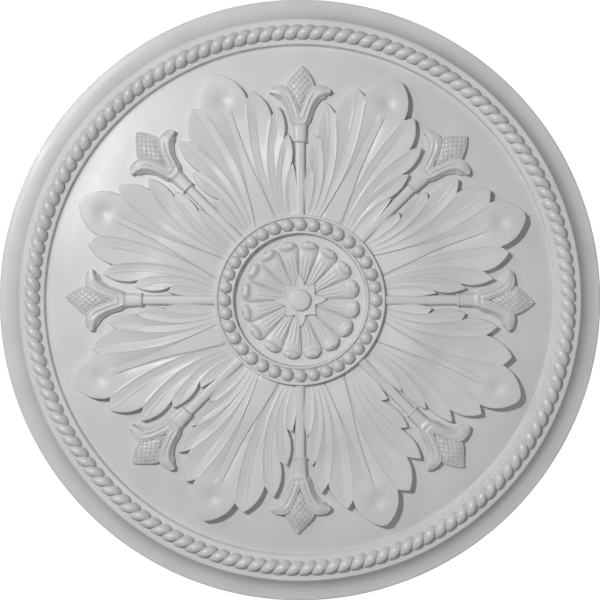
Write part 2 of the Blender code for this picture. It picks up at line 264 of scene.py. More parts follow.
def primerCoatGroup():
    group = bpy.data.node_groups.new("primerCoat", "ShaderNodeTree")
    face = group.interface
    for socketName, kind, value in (
        ("Colour", "NodeSocketColor", paint["colour"]),
        ("Darker", "NodeSocketColor", paint["darker"]),
        ("Roughness", "NodeSocketFloat", paint["roughness"]),
        ("Roughness Swing", "NodeSocketFloat", paint["roughnessSwing"]),
        ("Grain Size", "NodeSocketFloat", paint["grainSize"]),
        ("Grain Depth", "NodeSocketFloat", paint["grainDepth"]),
        ("Wave Size", "NodeSocketFloat", paint["waveSize"]),
        ("Wave Depth", "NodeSocketFloat", paint["waveDepth"]),
    ):
        socket = face.new_socket(name=socketName, in_out="INPUT", socket_type=kind)
        socket.default_value = value
    for socketName, kind in (
        ("Colour", "NodeSocketColor"),
        ("Roughness", "NodeSocketFloat"),
        ("Height", "NodeSocketFloat"),
    ):
        face.new_socket(name=socketName, in_out="OUTPUT", socket_type=kind)
    nodes = group.nodes
    links = group.links
    given = nodes.new("NodeGroupInput")
    out = nodes.new("NodeGroupOutput")
    spot = nodes.new("ShaderNodeTexCoord")

    def noiseAt(sizeSocket, detail):
        scale = nodes.new("ShaderNodeMath")
        scale.operation = "DIVIDE"
        scale.inputs[0].default_value = 1.0
        links.new(sizeSocket, scale.inputs[1])
        noise = nodes.new("ShaderNodeTexNoise")
        noise.inputs["Detail"].default_value = detail
        links.new(spot.outputs["Object"], noise.inputs["Vector"])
        links.new(scale.outputs[0], noise.inputs["Scale"])
        return noise.outputs["Fac"]

    grain = noiseAt(given.outputs["Grain Size"], paint["grainDetail"])
    wave = noiseAt(given.outputs["Wave Size"], paint["waveDetail"])
    spread = nodes.new("ShaderNodeMapRange")
    spread.inputs["From Min"].default_value = paint["toneRange"][0]
    spread.inputs["From Max"].default_value = paint["toneRange"][1]
    links.new(wave, spread.inputs["Value"])
    tone = nodes.new("ShaderNodeMix")
    tone.data_type = "RGBA"
    links.new(spread.outputs["Result"], tone.inputs["Factor"])
    links.new(given.outputs["Darker"], tone.inputs["A"])
    links.new(given.outputs["Colour"], tone.inputs["B"])
    links.new(tone.outputs["Result"], out.inputs["Colour"])
    rough = nodes.new("ShaderNodeMath")
    rough.operation = "MULTIPLY_ADD"
    links.new(spread.outputs["Result"], rough.inputs[0])
    links.new(given.outputs["Roughness Swing"], rough.inputs[1])
    links.new(given.outputs["Roughness"], rough.inputs[2])
    links.new(rough.outputs[0], out.inputs["Roughness"])
    fine = nodes.new("ShaderNodeMath")
    fine.operation = "MULTIPLY"
    links.new(grain, fine.inputs[0])
    links.new(given.outputs["Grain Depth"], fine.inputs[1])
    total = nodes.new("ShaderNodeMath")
    total.operation = "MULTIPLY_ADD"
    links.new(wave, total.inputs[0])
    links.new(given.outputs["Wave Depth"], total.inputs[1])
    links.new(fine.outputs[0], total.inputs[2])
    links.new(total.outputs[0], out.inputs["Height"])
    return group


def primerPaint(name, group, changes):
    material = bpy.data.materials.new(name)
    material.use_nodes = True
    nodes = material.node_tree.nodes
    links = material.node_tree.links
    shader = nodes["Principled BSDF"]
    coat = nodes.new("ShaderNodeGroup")
    coat.node_tree = group
    for socketName, value in changes.items():
        coat.inputs[socketName].default_value = value
    bump = nodes.new("ShaderNodeBump")
    bump.inputs["Distance"].default_value = 1.0
    bump.inputs["Strength"].default_value = 1.0
    links.new(coat.outputs["Height"], bump.inputs["Height"])
    links.new(coat.outputs["Colour"], shader.inputs["Base Color"])
    links.new(coat.outputs["Roughness"], shader.inputs["Roughness"])
    links.new(bump.outputs["Normal"], shader.inputs["Normal"])
    shader.inputs["Specular IOR Level"].default_value = paint["specular"]
    return material


coatGroup = primerCoatGroup()
groundPaint = primerPaint("primed field and rim", coatGroup, {})
carvedPaint = primerPaint("primed carving", coatGroup, paint["carved"])
roundedPaint = primerPaint("primed beads and rope", coatGroup, paint["rounded"])
print("paint mixed")


# base: back, rim, field, ring and sunk floor in one turned profile

base = {
    "steps": 288,
    "flangeHeight": 0.0046, "flangeWidth": 0.0058,
    "stepWidth": 0.0030, "coveFootWidth": 0.0026, "coveWidth": 0.0122,
    "cove": [                       # way in from the edge, height
        (0.0, 0.0048), (0.0055, 0.0055), (0.0092, 0.0064), (0.0120, 0.0074),
        (0.0150, 0.0090), (0.0185, 0.0118), (0.0210, 0.0146), (0.0232, 0.0173),
    ],
    "groundHeight": 0.0176, "outerFlatWidth": 0.0058, "innerFlatWidth": 0.0044,
    "ropeRadius": 0.0084, "ropeShift": 0.0005,
    "fieldStepWidth": 0.0033, "stepWallWidth": 0.0019, "fieldEdgeHeight": 0.0132,
    "fieldRise": 0.0170, "fieldFlatness": 0.32,
    "fieldPillow": 0.0010, "pillowStart": 0.55, "pillowTop": 0.88, "pillowFall": 1.4,
    "ringRadius": 0.0820, "ringFloorRise": 0.0060, "filletWidth": 0.0027, "filletHeight": 0.0022,
    "ringWallWidth": 0.0012, "innerWallWidth": 0.0009, "innerFloorDrop": 0.0050,
    "beadRadius": 0.00706,
    "wallDraft": 0.0002, "channelDraft": 0.0003,
    "rounding": {                   # how far each corner is rounded along its sides
        "back": 0.0006, "rim": 0.0016, "cove": 0.0005, "step": 0.0008, "stepFoot": 0.0009,
        "ringFoot": 0.0006, "outerFillet": 0.0009, "channel": 0.0006, "innerFillet": 0.0008,
        "floorEdge": 0.0007, "floor": 0.0008,
    },
    "coveSteps": 25, "fieldSteps": 40, "smoothAngle": 50,
    "groundShare": 0.4, "floorShare": 0.8,      # of their heights, where carved walls end inside it
}
flangeInner = outerRadius - base["flangeWidth"]
coveOuter = flangeInner - base["stepWidth"] - base["coveFootWidth"]
coveInner = coveOuter - base["coveWidth"]
ropeCentre = coveInner - base["outerFlatWidth"] - base["ropeRadius"]
stepOuter = ropeCentre - base["ropeRadius"] - base["innerFlatWidth"]
fieldEdge = stepOuter - base["fieldStepWidth"]
fieldTop = base["fieldEdgeHeight"] + base["fieldRise"]
channelOuter = base["ringRadius"] + base["beadRadius"]
channelInner = base["ringRadius"] - base["beadRadius"]
ringOuter = channelOuter + base["filletWidth"] + base["ringWallWidth"]
ringFloor = fieldTop + base["ringFloorRise"]
filletTop = ringFloor + base["filletHeight"]
floorRadius = channelInner - base["filletWidth"] - base["innerWallWidth"]
floorHeight = ringFloor - base["innerFloorDrop"]
fieldWidth = fieldEdge - ringOuter
underGround = base["groundHeight"] * base["groundShare"]
underFloor = floorHeight * base["floorShare"]


def fieldHeight(radius):
    share = min(max((radius - ringOuter) / fieldWidth, 0.0), 1.0)
    flat = base["fieldFlatness"]
    dome = flat * share + (1 - flat) * share * share
    lifted = smoothStep(base["pillowStart"], base["pillowTop"], share)
    dropped = smoothStep(base["pillowTop"], 1.0, share) ** base["pillowFall"]
    return fieldTop - base["fieldRise"] * dome + base["fieldPillow"] * (lifted - dropped)


def roundedPath(corners, arcSteps=4, sideShare=0.48):
    # corners of radius, height and how far the rounding reaches along each side
    path = []
    for i, (radius, height, reach) in enumerate(corners):
        here = Vector((radius, height))
        if reach == 0 or i in (0, len(corners) - 1):
            path.append(here)
            continue
        before = Vector(corners[i - 1][:2]) - here
        after = Vector(corners[i + 1][:2]) - here
        start = here + before.normalized() * min(reach, before.length * sideShare)
        end = here + after.normalized() * min(reach, after.length * sideShare)
        for k in range(arcSteps + 1):
            t = k / arcSteps
            path.append(start * (1 - t) ** 2 + here * 2 * t * (1 - t) + end * t * t)
    return path


def buildBase():
    b = base
    ground = b["groundHeight"]
    draft = b["wallDraft"]
    rounding = b["rounding"]
    corners = [
        (0.0, 0.0, 0),
        (outerRadius, 0.0, rounding["back"]),
        (outerRadius, b["flangeHeight"], rounding["rim"]),
    ]
    for k in range(1, b["coveSteps"] + 1):
        radius = mix(outerRadius - rounding["rim"], coveInner + 2 * draft, k / b["coveSteps"])
        corners.append((radius, reading(b["cove"], outerRadius - radius), 0))
    corners += [
        (coveInner - draft / 2, ground, rounding["cove"]),
        (stepOuter + draft, ground, rounding["step"]),
        (stepOuter + draft - b["stepWallWidth"], b["fieldEdgeHeight"], rounding["stepFoot"]),
        (fieldEdge, b["fieldEdgeHeight"], 0),
    ]
    for k in range(1, b["fieldSteps"]):
        radius = mix(fieldEdge, ringOuter, k / b["fieldSteps"])
        corners.append((radius, fieldHeight(radius), 0))
    corners += [
        (ringOuter, fieldTop, rounding["ringFoot"]),
        (ringOuter - b["ringWallWidth"] / 2, filletTop, rounding["outerFillet"]),
        (channelOuter + draft, filletTop, rounding["outerFillet"]),
        (channelOuter - b["channelDraft"], ringFloor, rounding["channel"]),
        (channelInner + b["channelDraft"], ringFloor, rounding["channel"]),
        (channelInner - draft, filletTop, rounding["innerFillet"]),
        (channelInner - b["filletWidth"] + draft / 2, filletTop, rounding["floorEdge"]),
        (floorRadius, floorHeight, rounding["floor"]),
        (floorRadius / 2, floorHeight, 0),
        (0.0, floorHeight, 0),
    ]
    profile = [(p.x, p.y) for p in roundedPath(corners)]
    piece = turnedPiece("turned_base", profile, b["steps"])
    finishPiece(piece, groundPaint, b["smoothAngle"])


buildBase()
print("base turned")


# rope moulding: one strand, copied round the rim and joined

rope = {
    "strands": 132, "columns": 10, "rows": 22,
    "firstAngle": 1.2, "lean": 0.84, "leanMiddle": 0.42, "bend": 1.45,
    "groove": 0.42, "bulge": 0.94, "sink": 14.0, "weld": 0.00003, "smoothAngle": 60,
}


def buildRope():
    r = rope
    pitch = 2 * math.pi / r["strands"]
    lowAngle = -r["sink"]
    highAngle = 180 + r["sink"]
    edgeBulge = math.sqrt(1 - r["bulge"])

    def place(column, row):
        if row > r["rows"]:
            row = 0                     # the last row closes the strand below the ground
        share = row / r["rows"]
        angle = math.radians(mix(lowAngle, highAngle, share))
        across = 2 * column / r["columns"] - 1
        bulge = math.sqrt(max(1 - r["bulge"] * across * across, 0.0))
        swell = 1 - r["groove"] * (1 - bulge) / (1 - edgeBulge)
        tilt = r["lean"] * ((1 - share) ** r["bend"] - r["leanMiddle"])
        turn = pitch * (across / 2 + tilt)
        reach = ropeCentre + base["ropeShift"] + base["ropeRadius"] * swell * math.cos(angle)
        height = base["groundHeight"] + base["ropeRadius"] * swell * math.sin(angle)
        return Vector((reach * math.sin(turn), reach * math.cos(turn), height))

    strand = gridSheet("rope", r["columns"], r["rows"] + 1, place)
    piece = copiesAround(strand, r["strands"], r["firstAngle"], joined=True)[0]
    mergeDoubles(piece, r["weld"])
    finishPiece(piece, roundedPaint, r["smoothAngle"])


buildRope()
print("rope laid")


# beads in the channel of the ring

beads = {
    "count": 36, "segments": 28, "rings": 18,
    "sink": 0.00001,        # keeps the tops inside the box of the solid
    "cut": 0.35,            # share of the radius that is left below the ring floor
    "smoothAngle": 50,
}


def buildBeads():
    deselectAll()
    bpy.ops.mesh.primitive_uv_sphere_add(
        segments=beads["segments"], ring_count=beads["rings"], radius=base["beadRadius"],
        location=(0, base["ringRadius"], ringFloor - beads["sink"]))
    bead = bpy.context.active_object
    bead.name = "beads"
    bpy.ops.object.transform_apply(location=True, rotation=True, scale=True)
    bpy.ops.object.mode_set(mode="EDIT")
    bpy.ops.mesh.select_all(action="SELECT")
    bpy.ops.mesh.bisect(
        plane_co=(0, 0, ringFloor - base["beadRadius"] * beads["cut"]), plane_no=(0, 0, 1),
        use_fill=True, clear_inner=True)
    bpy.ops.object.mode_set(mode="OBJECT")
    piece = copiesAround(bead, beads["count"], 0.0, joined=True)[0]
    finishPiece(piece, roundedPaint, beads["smoothAngle"])


buildBeads()
print("beads set")


# leaves: ridges and hollows run from the ring to the notches and tips

leaf = {
    "count": 8, "firstAngle": 22.5, "rows": 64, "tipClearance": 0.0150, "rise": 0.0022,
    "lean": 0.060, "rootShift": -0.0013, "skewAcross": 0.05, "skewAlong": 0.028,
    "rootInset": 1.5,               # widths of the ring's wall that the root reaches into the ring
    "profile": [(0.0, 0.0), (0.12, 0.0016), (0.24, 0.0024), (0.36, 0.0013), (0.46, -0.0004),
                (0.60, -0.0009), (0.80, -0.0012), (0.90, -0.0018), (1.0, -0.0034)],
    "hollow": 0.073, "hollowReach": 0.016, "vShare": 0.74, "tipFade": 0.45, "fadeStart": 0.80,
    "belly": 0.23, "fallBelly": 0.04, "lastBelly": 0.11, "bellyPower": 7,
    "veinShare": 0.07, "veinHeight": 0.0004, "veinSlope": 0.36, "veinEnd": 0.93,
    "rootFirst": 0.077, "rootPitch": 0.0128, "lastRootSwing": 0.012, "bowPlace": 0.52,
    "lobeNotch": (0.146, 0.795), "lobeBow": -0.071, "lobeBelly": 0.27, "lobeFlatness": 0.55,
    "ribHalf": [(0.0, 0.062), (0.12, 0.050), (0.25, 0.037), (0.34, 0.026), (0.45, 0.0195),
                (0.75, 0.0165), (1.0, 0.015)],
    "ribStart": 0.02, "ribHeight": 0.0016, "ribWall": 0.009, "wallTaper": 0.5,
    "ribSpring": (-0.02, 0.05), "ribSpringShare": 0.6, "ribFade": (0.65, 0.77),
    "ribColumns": 3, "wallColumns": 2, "lobeColumns": 10,
    "bowlPlace": 0.838, "bowlShift": -0.0012, "bowlDepth": 0.0021,
    "bowlAcross": 0.0060, "bowlAlong": 0.0056,
    "edge": [(0.00020, 0.00008), (0.00022, 0.00022), (0.00012, 0.00045), (0.0006, 0.0060)],
    "smoothAngle": 38,
}
# from the tip of the leaf to its root: tip, notch below it, how far the right side differs from
# the left, and the bow of hollow and ridge
fingers = [
    {"tip": (0.2095, 0.832), "tipSwing": (-0.0075, 0.002),
     "notch": (0.265, 0.625), "notchSwing": (0.0, 0.0),
     "hollowBow": -0.013, "ridgeBow": -0.031, "columns": 7},
    {"tip": (0.3405, 0.672), "tipSwing": (-0.0055, 0.0),
     "notch": (0.282, 0.445), "notchSwing": (0.0, 0.0),
     "hollowBow": 0.017, "ridgeBow": -0.015, "columns": 6},
    {"tip": (0.3335, 0.466), "tipSwing": (0.0015, 0.012),
     "notch": (0.242, 0.244), "notchSwing": (0.016, 0.010),
     "hollowBow": 0.012, "ridgeBow": 0.008, "columns": 6},
    {"tip": (0.285, 0.265), "tipSwing": (0.0145, 0.020),
     "notch": (0.196, 0.0), "notchSwing": (0.0, 0.0),
     "hollowBow": 0.012, "ridgeBow": 0.065, "columns": 5},
]
leafLength = fieldWidth - leaf["tipClearance"]
budAngle = leaf["firstAngle"] + 180 / leaf["count"]         # midway between two leaves


def leafLevel(along):
    return fieldTop + leaf["rise"] + reading(leaf["profile"], (along - ringOuter) / leafLength)


def leafAxis(along):
    return leaf["rootShift"] + leaf["lean"] * (along - ringOuter)


def leafPoint(side, across, along):
    # shares of the leaf's length, across from its axis and along from the ring
    wide = across * leafLength * (1 - side * leaf["skewAcross"])
    skew = leaf["skewAlong"] * min(1.0, across / leaf["lobeNotch"][0])
    far = ringOuter + along * leafLength * (1 - side * skew)
    return Vector((side * wide + leafAxis(far), far))


def rootPoint(side, across):
    x = side * across * leafLength * (1 - side * leaf["skewAcross"]) + leaf["rootShift"]
    inside = ringOuter - base["ringWallWidth"] * leaf["rootInset"]
    return Vector((x, math.sqrt(inside * inside - x * x)))


def bowed(start, bow, end, t):
    return start * (1 - t) ** 2 + bow * 2 * t * (1 - t) + end * t * t


def leafLine(side, rootAcross, bow, end, t):
    start = rootPoint(side, rootAcross)
    finish = leafPoint(side, *end)
    middle = start.y + (finish.y - start.y) * leaf["bowPlace"]
    bend = side * (rootAcross + bow) * leafLength * (1 - side * leaf["skewAcross"])
    return bowed(start, Vector((bend + leafAxis(middle), middle)), finish, t)


def ribHalf(share):
    return reading(leaf["ribHalf"], share)


def ribLine(side, extra, t):
    # runs beside the rib and on to the tip of the leaf
    free = leaf["ribStart"]
    if t < free:
        start = rootPoint(side, ribHalf(0.0) + extra)
        ahead = leafPoint(side, ribHalf(free) + extra, free)
        return start.lerp(ahead, t / free)
    return leafPoint(side, ribHalf(t) + extra, t)


def wallLine(side, t):
    return ribLine(side, leaf["ribWall"] * (1 - leaf["wallTaper"] * t), t)


def swung(finger, name, side):
    # the right side of the leaf differs a little from the left
    spot = finger[name]
    swing = finger[name + "Swing"]
    return spot[0] + side * swing[0], spot[1] + side * swing[1]


def leafStrips(side):
    # from the middle outwards: inner line, outer line, columns, kind of surface, belly
    f = fingers
    found = [
        (lambda t: ribLine(side, -ribHalf(t), t), lambda t: ribLine(side, 0.0, t),
         leaf["ribColumns"], "rib", 0.0),
        (lambda t: ribLine(side, 0.0, t), lambda t: wallLine(side, t),
         leaf["wallColumns"], "wall", 0.0),
        (lambda t: wallLine(side, t),
         lambda t: leafLine(side, leaf["rootFirst"], leaf["lobeBow"], leaf["lobeNotch"], t),
         leaf["lobeColumns"], "lobe", leaf["lobeBelly"]),
    ]
    for i, finger in enumerate(f):
        hollowRoot = leaf["rootFirst"] + leaf["rootPitch"] * (2 * i + 1)
        ridgeRoot = leaf["rootFirst"] + leaf["rootPitch"] * (2 * i + 2)
        aboveRoot = leaf["rootFirst"] + leaf["rootPitch"] * 2 * i
        aboveBow = f[i - 1]["ridgeBow"] if i else leaf["lobeBow"]
        aboveEnd = swung(f[i - 1], "notch", side) if i else leaf["lobeNotch"]

        def above(t, root=aboveRoot, bow=aboveBow, end=aboveEnd):
            return leafLine(side, root, bow, end, t)

        def hollow(t, root=hollowRoot, finger=finger):
            return leafLine(side, root, finger["hollowBow"], swung(finger, "tip", side), t)

        def below(t, root=ridgeRoot, finger=finger, last=(i == len(f) - 1)):
            if last:
                start = rootPoint(side, root + side * leaf["lastRootSwing"])
                end = leafPoint(side, *swung(finger, "tip", side))
                out = Vector((end.y - start.y, start.x - end.x)) * side * leaf["lastBelly"]
                return bowed(start, (start + end) / 2 + out, end, t)
            return leafLine(side, root, finger["ridgeBow"], swung(finger, "notch", side), t)

        belly = 0.0 if i == len(f) - 1 else leaf["belly"]
        found.append((above, hollow, finger["columns"], "falls", leaf["fallBelly"]))
        found.append((hollow, below, finger["columns"], "climbs", belly))
    return found


def stripPoint(strip, side, s, t):
    inner, outer, columns, kind, belly = strip
    a = inner(t)
    b = outer(t)
    p = a.lerp(b, s)
    if belly:
        start = inner(1.0)
        end = outer(1.0)
        out = Vector((start.y - end.y, end.x - start.x)) * side
        p = p + out * belly * 2 * s * (1 - s) * t ** leaf["bellyPower"]
    level = leafLevel(p.y)
    veinFade = 1 - smoothStep(leaf["veinEnd"], 1.0, t)
    outerVein = max(0.0, 1 - (1 - s) / leaf["veinShare"])
    if kind in ("falls", "climbs"):
        q = s if kind == "falls" else 1 - s          # 0 on the ridge, 1 in the hollow
        dip = leaf["vShare"] * q + (1 - leaf["vShare"]) * (1 - (1 - q) ** 2)
        wide = (b - a).length
        fade = 1 - (1 - leaf["tipFade"]) * smoothStep(leaf["fadeStart"], 1.0, t)
        level -= leaf["hollow"] * min(wide, leaf["hollowReach"]) * dip * fade
        innerVein = max(0.0, 1 - s / leaf["veinShare"])
        vein = min(leaf["veinHeight"], leaf["veinSlope"] * leaf["veinShare"] * wide)
        level += vein * (innerVein + outerVein) * veinFade
    else:
        share = (p.y - ringOuter) / leafLength
        spring = mix(leaf["ribSpringShare"], 1.0, smoothStep(*leaf["ribSpring"], share))
        sunk = leaf["ribHeight"] * spring * (1 - smoothStep(*leaf["ribFade"], share))
        if kind == "wall":
            level -= sunk * smoothStep(0.0, 1.0, s)
        if kind == "lobe":
            q = 1 - s
            flat = leaf["lobeFlatness"]
            level -= sunk * (flat * q + (1 - flat) * q * q)
            level += leaf["veinHeight"] * outerVein * veinFade
        bowl = leafPoint(1, 0.0, leaf["bowlPlace"])
        across = (p.x - bowl.x - leaf["bowlShift"]) / leaf["bowlAcross"]
        along = (p.y - bowl.y) / leaf["bowlAlong"]
        level -= leaf["bowlDepth"] * math.exp(-(across * across + along * along) / 2)
    return Vector((p.x, p.y, level))


def laneShares(strip):
    # a narrow lane beside each line gives it a fine raised vein
    columns, kind = strip[2:4]
    if kind in ("rib", "wall"):
        return [k / columns for k in range(columns)]
    edge = leaf["veinShare"]
    return [0.0] + [mix(edge, 1 - edge, k / (columns - 1)) for k in range(columns)]


def buildLeaves():
    left = leafStrips(-1)
    right = leafStrips(1)
    lanes = []
    for strip in reversed(left):
        for s in laneShares(strip):
            lanes.append((strip, -1, 1 - s))
    for strip in right:
        for s in laneShares(strip):
            lanes.append((strip, 1, s))
    lanes.append((right[-1], 1, 1.0))

    def place(column, row):
        strip, side, s = lanes[column]
        return stripPoint(strip, side, s, row / leaf["rows"])

    piece = gridSheet("leaf", len(lanes) - 1, leaf["rows"], place)
    dropEdge(piece, leaf["edge"], underGround)
    for one in copiesAround(piece, leaf["count"], leaf["firstAngle"]):
        finishPiece(one, carvedPaint, leaf["smoothAngle"])


buildLeaves()
print("leaves carved")


# buds between the leaves, each in a calyx on a collared stem

bud = {
    "columns": 104, "rows": 144, "start": 0.2035, "length": 0.0510, "height": 0.0092,
    "halfWidth": 0.0156, "lean": 0.0026, "leanSpan": (0.6, 0.96),
    "shape": [(0.0, 0.03), (0.20, 0.42), (0.42, 0.86), (0.56, 1.0), (0.69, 0.85), (0.80, 0.62),
              (0.906, 0.36), (0.97, 0.18), (1.0, 0.05)],
    "footShare": 0.5, "footSpan": (0.0, 0.3), "tipFall": 0.50, "tipSpan": (0.6, 1.0),
    "heldSideFall": 0.72, "freeSideFall": 0.40, "freeSpan": (0.35, 0.62), "crownPower": 2.2,
    "lattice": 0.0064, "latticeSlope": 0.84, "latticeDepth": 0.0013, "lineWidth": 0.0013,
    "border": 0.0024, "borderHeight": 0.00035, "borderLine": 0.0007,
    "edge": [(0.00025, 0.0002), (0.0003, 0.0008)], "smoothAngle": 50,
}


def buildBuds():
    b = bud
    lineShare = b["lattice"] / b["lineWidth"] * 2 / math.hypot(1, b["latticeSlope"])

    def place(column, row):
        s = 2 * column / b["columns"] - 1
        t = row / b["rows"]
        half = b["halfWidth"] * reading(b["shape"], t)
        y = b["start"] + t * b["length"]
        x = s * half + b["lean"] * smoothStep(*b["leanSpan"], t)
        foot = mix(b["footShare"], 1.0, smoothStep(*b["footSpan"], t))
        tip = 1 - b["tipFall"] * smoothStep(*b["tipSpan"], t)
        sideFall = mix(b["heldSideFall"], b["freeSideFall"], smoothStep(*b["freeSpan"], t))
        crown = 1 - sideFall * abs(s) ** b["crownPower"]
        top = fieldHeight(y) + b["height"] * crown * foot * tip
        inset = half * (1 - abs(s))                    # way in from the side edge
        inside = smoothStep(b["border"], b["border"] + b["borderLine"], inset)
        u = (x + y * b["latticeSlope"]) / b["lattice"]
        w = (x - y * b["latticeSlope"]) / b["lattice"]
        cut = max(1 - lineShare * abs(u - round(u)), 1 - lineShare * abs(w - round(w)), 0.0)
        top -= b["latticeDepth"] * cut * inside
        top += b["borderHeight"] * (1 - inside)
        top -= b["latticeDepth"] * max(0.0, 1 - abs(inset - b["border"]) / b["borderLine"])
        return Vector((x, y, top))

    piece = gridSheet("bud", b["columns"], b["rows"], place)
    dropEdge(piece, b["edge"], underGround)
    for one in copiesAround(piece, leaf["count"], budAngle):
        finishPiece(one, carvedPaint, b["smoothAngle"])


calyx = {
    "columns": 28, "rows": 56, "height": 0.0078, "crease": 0.46, "creaseDepth": 0.0013,
    "lip": 0.07, "lipHeight": 0.0003, "lipRoll": 0.25, "neckWidth": 0.0128,
    "doublePower": 2.2, "singlePower": 2.4, "singleSpan": (0.42, 0.78),
    "tipBulge": 0.0036, "bulgeSpan": (0.80, 1.0), "tipDrop": 0.22, "tipSpan": (0.75, 1.0),
    "footLevel": 0.92, "footRise": 0.10, "footSpan": (0.0, 0.25),
    "sideDrop": 0.52, "sideSpan": (0.64, 1.0),
    "outerLine": [(0.0078, 0.1900), (0.0118, 0.1978), (0.0148, 0.2075), (0.0211, 0.2168),
                  (0.0268, 0.2202), (0.0296, 0.2226)],
    "innerLine": [(0.0000, 0.1900), (0.0000, 0.2024), (0.0054, 0.2165), (0.0095, 0.2262),
                  (0.0150, 0.2318), (0.0226, 0.2330), (0.0292, 0.2318)],
    "edge": [(0.0003, 0.0002), (0.0003, 0.0007)], "smoothAngle": 50,
}


def petalRoll(near, t):
    # a narrow lip, then two rolls with the crease between them that run into one at the tip
    c = calyx
    if near < c["lip"]:
        return c["lipRoll"] * math.sin(math.pi * near / c["lip"])
    low, high = (c["lip"], c["crease"]) if near < c["crease"] else (c["crease"], 1.0)
    double = 1 - abs(2 * (near - low) / (high - low) - 1) ** c["doublePower"]
    single = 1 - abs(2 * (near - c["lip"]) / (1 - c["lip"]) - 1) ** c["singlePower"]
    return mix(double, single, smoothStep(*c["singleSpan"], t))


def buildCalyxes():
    c = calyx
    fork = c["innerLine"][1][1]                 # where the petals part

    def placeOn(side):
        def place(column, row):
            s = column / c["columns"]           # 0 on the inner edge, 1 on the outer
            t = row / c["rows"]
            inner = lineThrough(c["innerLine"], t)
            inner.x = max(inner.x, 0.0)         # the petals meet on the middle line
            outer = lineThrough(c["outerLine"], t)
            p = inner.lerp(outer, s)
            p.x += c["tipBulge"] * smoothStep(*c["bulgeSpan"], t) * (1 - (2 * s - 1) ** 2)
            near = s
            if inner.y < fork:
                near = min(math.hypot(p.x, fork - inner.y) / c["neckWidth"], 1.0)
            foot = c["footLevel"] + c["footRise"] * smoothStep(*c["footSpan"], t)
            tip = c["tipDrop"] * smoothStep(*c["tipSpan"], t)
            low = c["sideDrop"] * smoothStep(*c["sideSpan"], s)
            level = c["height"] * (foot - tip - low)
            level += c["creaseDepth"] * petalRoll(near, t)
            level += c["lipHeight"] * (1 - smoothStep(0.0, c["lip"], near))
            x = side * p.x
            return Vector((x, p.y, fieldHeight(math.hypot(x, p.y)) + level))
        return place

    petals = [gridSheet("calyx", c["columns"], c["rows"], placeOn(side)) for side in (-1, 1)]
    piece = joinPieces(petals, "calyx")
    mergeDoubles(piece)
    dropEdge(piece, c["edge"], underGround)
    for one in copiesAround(piece, leaf["count"], budAngle):
        finishPiece(one, carvedPaint, c["smoothAngle"])


stem = {
    "columns": 14, "rows": 120, "rootInset": 1.2, "overlap": 0.001,
    "halfWidth": 0.0055, "height": 0.0054, "crownFoot": 0.25, "crownPower": 4.2,
    "collarStart": 0.1712, "collarEnd": 0.1915, "collarHalf": 0.0076, "collarHeight": 0.0072,
    "collarEdge": 0.0004, "collarTaper": (0.92, 1.02),
    "beadWidth": 0.0018, "beadHeight": 0.0009,
    "edge": [(0.0001, 0.0004)], "smoothAngle": 50,
}


def buildStems():
    s = stem
    start = ringOuter - base["ringWallWidth"] * s["rootInset"]
    beadHalf = s["beadWidth"] / 2

    def place(column, row):
        across = math.cos(math.pi * (1 - column / s["columns"]))
        y = mix(start, s["collarEnd"] + s["overlap"], row / s["rows"])
        inCollar = smoothStep(s["collarStart"] - s["collarEdge"], s["collarStart"] + s["collarEdge"], y)
        taper = mix(*s["collarTaper"], smoothStep(s["collarStart"], s["collarEnd"], y))
        half = mix(s["halfWidth"], s["collarHalf"] * taper, inCollar)
        height = mix(s["height"], s["collarHeight"], inCollar)
        for ringPlace in (s["collarStart"] + beadHalf, s["collarEnd"] - beadHalf):
            near = max(0.0, 1 - ((y - ringPlace) / beadHalf) ** 2)
            half += s["beadHeight"] * near
            height += s["beadHeight"] * near
        arch = math.sqrt(max(0.0, 1 - abs(across) ** s["crownPower"]))
        return Vector((across * half, y, fieldHeight(y) + height * mix(s["crownFoot"], 1.0, arch)))

    piece = gridSheet("stem", s["columns"], s["rows"], place)
    dropEdge(piece, s["edge"], underGround)
    for one in copiesAround(piece, leaf["count"], budAngle):
        finishPiece(one, carvedPaint, s["smoothAngle"])


buildBuds()
buildCalyxes()
buildStems()
print("buds grown")


# rosette: reeded lobes, a star and a button on the sunk floor

rosette = {
    "lobes": 16, "firstAngle": 9.25, "columns": 30, "rows": 56,
    "start": 0.0150, "end": 0.0640, "gap": 0.0005,
    "roundStart": 0.78, "roundPower": 2.2, "leastRound": 0.001,
    "profile": [(0.0, 0.0022), (0.35, 0.0034), (0.60, 0.0041), (0.74, 0.0039), (0.80, 0.0043),
                (0.86, 0.0065), (0.95, 0.0063), (1.0, 0.0034)],
    "capBow": 0.08, "sideFall": 0.45, "sidePower": 3.5,
    "reeds": 3, "reedDepth": 0.0008, "reedPower": 0.7, "reedFade": (0.58, 0.76), "reedBow": 0.10,
    "edge": [(0.00015, 0.00015), (0.0002, 0.0005)], "smoothAngle": 50,
}


def buildLobes():
    r = rosette
    slope = math.tan(math.pi / r["lobes"])

    def place(column, row):
        s = 2 * column / r["columns"] - 1
        t = row / r["rows"]
        y = mix(r["start"], r["end"], t)
        half = y * slope - r["gap"]
        if t > r["roundStart"]:
            turn = (t - r["roundStart"]) / (1 - r["roundStart"])
            half *= math.sqrt(max(r["leastRound"], 1 - turn ** r["roundPower"]))
        top = reading(r["profile"], t - r["capBow"] * s * s)
        top *= 1 - r["sideFall"] * abs(s) ** r["sidePower"]
        reed = abs(math.cos(r["reeds"] * math.pi / 2 * s)) ** r["reedPower"]
        depth = r["reedDepth"] * (1 - smoothStep(*r["reedFade"], t + r["reedBow"] * abs(s)))
        top -= depth * (1 - reed)
        return Vector((s * half, y, floorHeight + top))

    piece = gridSheet("rosette_lobe", r["columns"], r["rows"], place)
    dropEdge(piece, r["edge"], underFloor)
    for one in copiesAround(piece, r["lobes"], r["firstAngle"]):
        finishPiece(one, carvedPaint, r["smoothAngle"])


